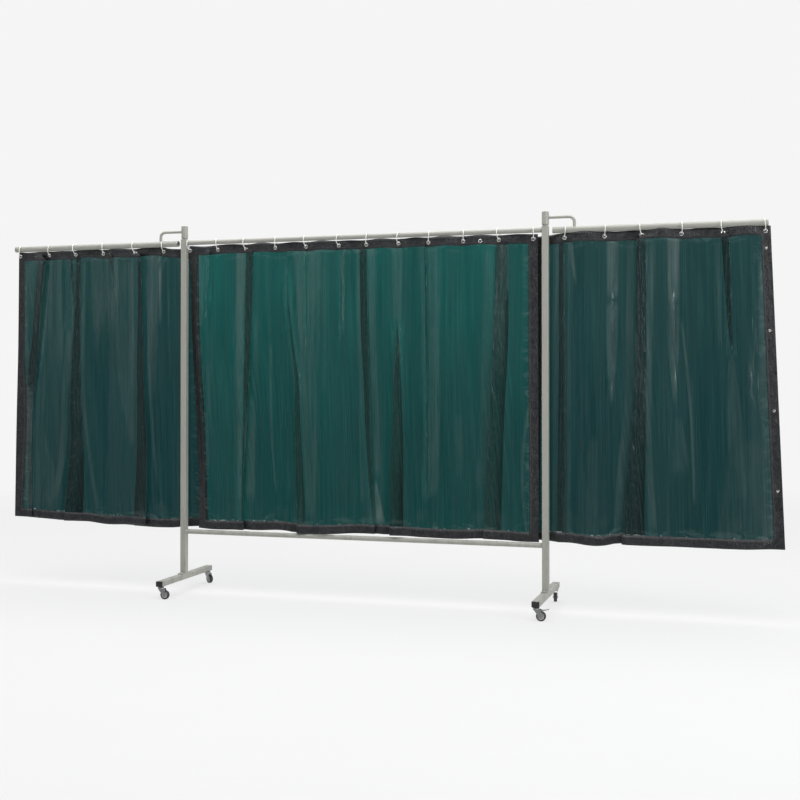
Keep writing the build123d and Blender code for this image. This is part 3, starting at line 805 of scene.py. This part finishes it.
RIGHT_ARM = Curtain(
    "right_arm",
    left=[(400, 955), (1200, 970), (1980, 990)],
    right=[(370, 2250), (1980, 2185)],
    ring_level=1983,
    humps=[7, 3, 8, 5, 8],
    beside_post=[(960, 1966), (1060, 1978)],
    bottom=[(950, 370), (1150, 361), (1380, 360), (1410, 368), (1600, 362), (1750, 360), (2250, 368)],
    bows=[-13, 11, -12, 12, -10],
    folds=[
        (48, 1, [(400, 1130, 42, 13), (1150, 1135, 36, 12), (1960, 1135, 30, 10)]),
        (34, -1, [(400, 1200, -22, 4), (1700, 1195, -14, 5), (1960, 1190, -6, 7)]),
        (40, 1, [(400, 1390, -24, 4), (1100, 1395, -14, 5), (1250, 1395, 4, 6), (1400, 1400, 15, 8),
                 (1550, 1400, 10, 6), (1700, 1400, -16, 4), (1960, 1400, -24, 5)]),
        (104, -1, [(400, 1505, 110, 22), (550, 1510, 98, 20), (750, 1520, 88, 18), (1100, 1540, 66, 15),
                   (1600, 1545, 54, 12), (1960, 1545, 50, 11)]),
        (38, 1, [(400, 1715, -20, 4), (1200, 1715, -12, 5), (1350, 1710, 6, 6), (1450, 1710, 14, 8),
                 (1550, 1710, 8, 6), (1700, 1710, -16, 4), (1960, 1710, -24, 5)]),
        (28, -1, [(400, 1810, -8, 7), (900, 1800, -8, 7), (1500, 1750, -8, 6), (1960, 1745, -12, 5)]),
        (46, 1, [(400, 1990, -30, 5), (1250, 2000, -14, 6), (1350, 1995, 5, 8), (1960, 1965, 44, 11)]),
    ],
    sheen_streaks=[
        (0.9, [(400, 1170, 9), (1900, 1175, 9)]),
        (0.7, [(400, 1090, 8), (1900, 1100, 8)]),
        (1.4, [(1725, 1210, 4), (1935, 1180, 15)]),
        (1.9, [(1650, 1400, 28), (1950, 1400, 31)]),
        (1.1, [(1100, 1395, 5), (1200, 1395, 14), (1350, 1395, 26), (1600, 1400, 32)]),
        (0.95, [(450, 1425, 18), (750, 1445, 20), (1100, 1480, 18), (1600, 1490, 18), (1950, 1495, 14)]),
        (1.0, [(450, 1605, 20), (750, 1590, 16), (1900, 1600, 14)]),
        (2.2, [(1600, 1710, 29), (1950, 1710, 31)]),
        (1.3, [(1100, 1715, 8), (1250, 1710, 18), (1350, 1710, 27), (1600, 1710, 32)]),
        (0.6, [(750, 1745, 46), (1000, 1730, 24)]),
        (1.3, [(600, 1810, 5), (900, 1800, 6), (1100, 1790, 6), (1500, 1750, 6)]),
        (1.0, [(1400, 1940, 10), (1900, 1930, 10)]),
        (0.7, [(600, 2030, 50), (750, 2025, 44), (1100, 2005, 34), (1300, 1995, 16)]),
        (1.1, [(400, 2180, 40), (850, 2170, 28), (1350, 2150, 20), (1800, 2140, 14)]),
        (0.4, [(400, 2060, 150), (900, 2080, 100)]),
        (0.5, [(400, 1290, 34), (900, 1300, 22)]),
    ],
    waves=[(560, 13, 0.4, 0.03), (360, 6, 1.4, -0.02)],
    seed=23,
    post_x=1050,
)


# ---------------------------------------------------------------- rings, eyelets, studs
def lathe(profile, sides=28):
    """Points and faces of a closed profile (radius, height) turned about Z."""
    points, faces = [], []
    count = len(profile)
    for k in range(sides):
        a = 2 * math.pi * k / sides
        points += [Vector((r * math.cos(a), r * math.sin(a), h)) for r, h in profile]
    for k in range(sides):
        n = (k + 1) % sides
        for i in range(count):
            j = (i + 1) % count
            faces.append((k * count + i, n * count + i, n * count + j, k * count + j))
    return points, faces


def tube(path, radius, sides=12):
    """Points and faces of a round wire along a path, closed by a flat face at each end."""
    points, faces = [], []
    side = None
    for k, place in enumerate(path):
        ahead = (path[min(k + 1, len(path) - 1)] - path[max(k - 1, 0)]).normalized()
        side = (side - ahead * side.dot(ahead)).normalized() if side else ahead.orthogonal().normalized()
        other = ahead.cross(side)
        for n in range(sides):
            a = 2 * math.pi * n / sides
            points.append(place + (side * math.cos(a) + other * math.sin(a)) * radius)
    for k in range(len(path) - 1):
        for n in range(sides):
            m = (n + 1) % sides
            faces.append((k * sides + n, k * sides + m, (k + 1) * sides + m, (k + 1) * sides + n))
    faces.append(tuple(range(sides))[::-1])
    last = (len(path) - 1) * sides
    faces.append(tuple(last + n for n in range(sides)))
    return points, faces


def ball(centre, radius, sides=16, bands=10):
    points, faces = [centre + Vector((0, 0, radius))], []
    for b in range(1, bands):
        p = math.pi * b / bands
        for n in range(sides):
            a = 2 * math.pi * n / sides
            out = Vector((math.sin(p) * math.cos(a), math.sin(p) * math.sin(a), math.cos(p)))
            points.append(centre + radius * out)
    points.append(centre - Vector((0, 0, radius)))
    for n in range(sides):
        m = (n + 1) % sides
        faces.append((0, 1 + n, 1 + m))
        for b in range(bands - 2):
            r = 1 + b * sides
            faces.append((r + n, r + sides + n, r + sides + m, r + m))
        r = 1 + (bands - 2) * sides
        faces.append((len(points) - 1, r + m, r + n))
    return points, faces


def gather(parts):
    """Several (points, faces) parts as one."""
    points, faces = [], []
    for more_points, more_faces in parts:
        start = len(points)
        points += more_points
        faces += [tuple(start + i for i in f) for f in more_faces]
    return points, faces


def turned(part, normal, place):
    """A part made about Z, turned so that Z is the normal, and put at place."""
    turn = Vector((0, 0, 1)).rotation_difference(normal)
    points, faces = part
    moved = []
    for p in points:
        q = p * MM
        q.rotate(turn)
        moved.append(place + q)
    return moved, faces


RING_CENTRE_Z = 1991.05
RING_RADIUS = 28.75
RING_WIRE = 2.25
RING_BALL = 3.4
RING_START, RING_END = -10, 336
RING_STEPS = 56
RING_TURNS = [-9, 6, -14, 11, -4, 13, -11, 4, 16, -7, 9, -13]
RING_LEANS = [4, -3, 6, -5, 2, -6, 3, 5, -4, 6, -2, -5]


def ring_part(x, k):
    """An open nylon ring over the rail and through the eyelet, with a ball at its front end."""
    turn = math.radians(RING_TURNS[k % len(RING_TURNS)])
    lean = math.radians(RING_LEANS[(k * 5) % len(RING_LEANS)])
    path = []
    for i in range(RING_STEPS + 1):
        a = math.radians(RING_START + (RING_END - RING_START) * i / RING_STEPS)
        path.append(Vector((0, RING_RADIUS * math.sin(a), -RING_RADIUS * math.cos(a))))
    ends = [ball(path[-1], RING_BALL), ball(path[0], RING_WIRE * 1.02, 12, 8)]
    points, faces = gather([tube(path, RING_WIRE)] + ends)
    moved = []
    for p in points:
        across = p.x * math.cos(turn) + p.y * math.sin(turn) + math.sin(lean) * (p.z + RING_RADIUS)
        back = -p.x * math.sin(turn) + p.y * math.cos(turn)
        moved.append(Vector((x + across, back, RING_CENTRE_Z + p.z)) * MM)
    return moved, faces


def eyelet_profile():
    """Rolled rim, flat flange and throat of a crimped two-part eyelet; radius and height in mm."""
    half = HEM_THICKNESS / 2
    rim = [(5.5, half + 0.7), (6.0, half + 1.25), (6.8, half + 1.4), (8.2, half + 1.15), (9.8, half + 0.75),
           (10.7, half + 0.35), (11.0, half - 0.05), (10.6, half - 0.2)]
    return rim + [(r, -h) for r, h in reversed(rim)] + [(5.5, 0)]


def stud_profile():
    """Cap in front of the hem and socket behind it; radius and height in mm."""
    half = HEM_THICKNESS / 2
    return [(0.001, half + 2.5), (2.6, half + 2.35), (4.6, half + 1.9), (5.6, half + 1.5), (6.2, half + 1.75),
            (6.9, half + 1.6), (7.4, half + 1.0), (7.5, half + 0.3), (7.1, half - 0.1),
            (6.0, -half), (6.0, -half - 1.4), (5.2, -half - 2.0), (3.2, -half - 2.0), (2.9, -half - 1.2),
            (0.001, -half - 1.2)]


STUD_Z = [1870, 1464, 1058, 652]


def hang(curtain, body, film_material):
    """Build a curtain with its eyelets, rings and press studs, hide the CAD parts they stand for, and attach
    its pieces to a body or fix them in place.
    """
    film, hem = curtain.build(film_material)
    eyelets, rings = [], []
    for k, x in enumerate(curtain.rings):
        place, front = curtain.front_at(x, EYELET_Z)
        place = Vector((x * MM, place.y, EYELET_Z * MM))
        eyelets.append(turned(lathe(eyelet_profile()), front, place))
        rings.append(ring_part(x, k + curtain.seed))
    for x in curtain.spare_eyelets:
        place, front = curtain.front_at(x, EYELET_Z)
        eyelets.append(turned(lathe(eyelet_profile()), front, place))
    eyelet_set = new_piece(f"{curtain.name}_eyelet_set", *gather(eyelets), NICKEL, body, "nickel")
    ring_set = new_piece(f"{curtain.name}_ring_set", *gather(rings), WHITE_PLASTIC, body, "white_plastic")
    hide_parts(f"{curtain.name}_film")
    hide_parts(f"{curtain.name}_hem")
    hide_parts(f"{curtain.name}_eyelets")
    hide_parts(f"{curtain.name}_rings")
    if curtain.name == "right_arm":
        studs = []
        for z in STUD_Z:
            edge = float(curve_through(curtain.right, np.array([z]))[0])
            place, front = curtain.front_at(edge - HEM_WIDTH / 2, z)
            studs.append(turned(lathe(stud_profile()), front, place))
        stud_set = new_piece("right_arm_press_stud_set", *gather(studs), NICKEL, body, "nickel")
        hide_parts("right_arm_press_studs")
    if curtain.post_x is None:
        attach(film, body)
        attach(hem, body)
    else:
        for piece in (film, hem):
            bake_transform(piece)


hang(CENTRE, "frame", BACKLIT_CENTRE_FILM)
hang(LEFT_ARM, "left_arm", SHADED_ARM_FILM)
hang(RIGHT_ARM, "right_arm", SHADED_ARM_FILM)
paint_cad_nodes()


# ---------------------------------------------------------------- floor, world and lights
BACKDROP = 0.913
FLOOR_SIZE = 60.0
FLOOR_GLOW = 0.635
FLOOR_FADES = (2.8, 8.0)       # distances from the middle between which the floor turns clear
# The studio's walls as the light and the reflections see them: (degrees round from the front, brightness).
WALLS = [(-180, 0.55), (-100, 0.5), (-80, 0.08), (-66, 0.5), (-54, 0.06), (-47, 0.42), (-39, 0.4),
         (-33, 0.05), (-26, 0.03), (-15, 0.03), (-10, 0.06), (-3, 0.34), (5, 0.3), (10, 0.05),
         (20, 0.05), (27, 0.46), (38, 0.44), (46, 0.06), (74, 0.1), (90, 0.5), (180, 0.55)]


def make_floor():
    """A pale floor that fades out into the backdrop."""
    mesh = bpy.data.meshes.new("studio_floor")
    half = FLOOR_SIZE / 2
    corners = [(-half, -half, 0), (half, -half, 0), (half, half, 0), (-half, half, 0)]
    mesh.from_pydata(corners, [], [(0, 1, 2, 3)])
    floor = bpy.data.objects.new("studio_floor", mesh)
    bpy.context.scene.collection.objects.link(floor)
    m = Nodes("pale_floor")
    tone = m.colour(m.noise(m.place(), 1.5, 4), (0.198, 0.198, 0.198), (0.208, 0.208, 0.208))
    m.set(colour=tone, rough=0.9, specular=0.0)
    m.shader.inputs["Emission Color"].default_value = (1, 1, 1, 1)
    m.shader.inputs["Emission Strength"].default_value = FLOOR_GLOW
    distance = m.node("ShaderNodeVectorMath", operation="LENGTH")
    m.link(m.place(), distance.inputs[0])
    fade = m.levels(distance.outputs["Value"], *FLOOR_FADES)
    m.surface(fade, m.shader.outputs[0], m.node("ShaderNodeBsdfTransparent").outputs[0])
    mesh.materials.append(m.material)
    floor.visible_glossy = False


class WorldNodes(Nodes):
    """The same short calls for the node tree of the world."""

    def __init__(self, name):
        world = bpy.data.worlds.new(name)
        bpy.context.scene.world = world
        world.use_nodes = True
        self.tree = world.node_tree
        self.output = self.tree.nodes["World Output"]


def make_world():
    """A plain backdrop for the camera; walls, sky and ground of their own for light and reflections."""
    w = WorldNodes("studio")
    direction = w.node("ShaderNodeTexCoord").outputs["Generated"]
    to_front = w.math("MULTIPLY", w.axis(direction, "Y"), -1.0)
    bearing = w.math("ARCTAN2", w.axis(direction, "X"), to_front)
    walls = w.node("ShaderNodeValToRGB")
    w.link(w.levels(bearing, -math.pi, math.pi), walls.inputs[0])
    ramp = walls.color_ramp
    while len(ramp.elements) < len(WALLS):
        ramp.elements.new(0.5)
    for element, (degrees, level) in zip(ramp.elements, WALLS):
        element.position = (degrees + 180) / 360
        element.color = (level, level, level, 1)
    sky = w.levels(w.axis(direction, "Z"), 0.0, 1.0, 0.0, 0.4)
    ground = w.levels(w.axis(direction, "Z"), -0.17, -0.4, 0.0, 0.5)
    lit = w.tree.nodes["Background"]
    lit.inputs["Color"].default_value = (1, 1, 1, 1)
    w.link(w.math("ADD", walls.outputs[0], w.math("ADD", ground, sky)), lit.inputs["Strength"])
    seen = w.node("ShaderNodeBackground")
    seen.inputs["Color"].default_value = (BACKDROP, BACKDROP, BACKDROP, 1)
    camera_ray = w.node("ShaderNodeLightPath").outputs["Is Camera Ray"]
    w.surface(camera_ray, lit.outputs[0], seen.outputs[0])


def area_light(name, place, target, size, power, tint=(1, 1, 1)):
    data = bpy.data.lights.new(name, "AREA")
    data.shape = "RECTANGLE"
    data.size, data.size_y = size
    data.energy = power
    data.color = tint
    light = bpy.data.objects.new(name, data)
    light.location = place
    light.rotation_euler = (Vector(target) - Vector(place)).to_track_quat("-Z", "Y").to_euler()
    light.visible_camera = False
    bpy.context.scene.collection.objects.link(light)


make_floor()
make_world()
area_light("overhead_softbox", (0, -0.6, 5.5), (0, 0, 0), (8, 6), 410)
area_light("left_softbox", (-5.2, -4.0, 3.0), (-0.4, 0, 1.1), (1.6, 3.2), 12)
area_light("right_softbox", (6.2, -3.2, 2.6), (1.0, 0, 1.2), (1.4, 3.0), 150, (0.97, 1.0, 1.03))
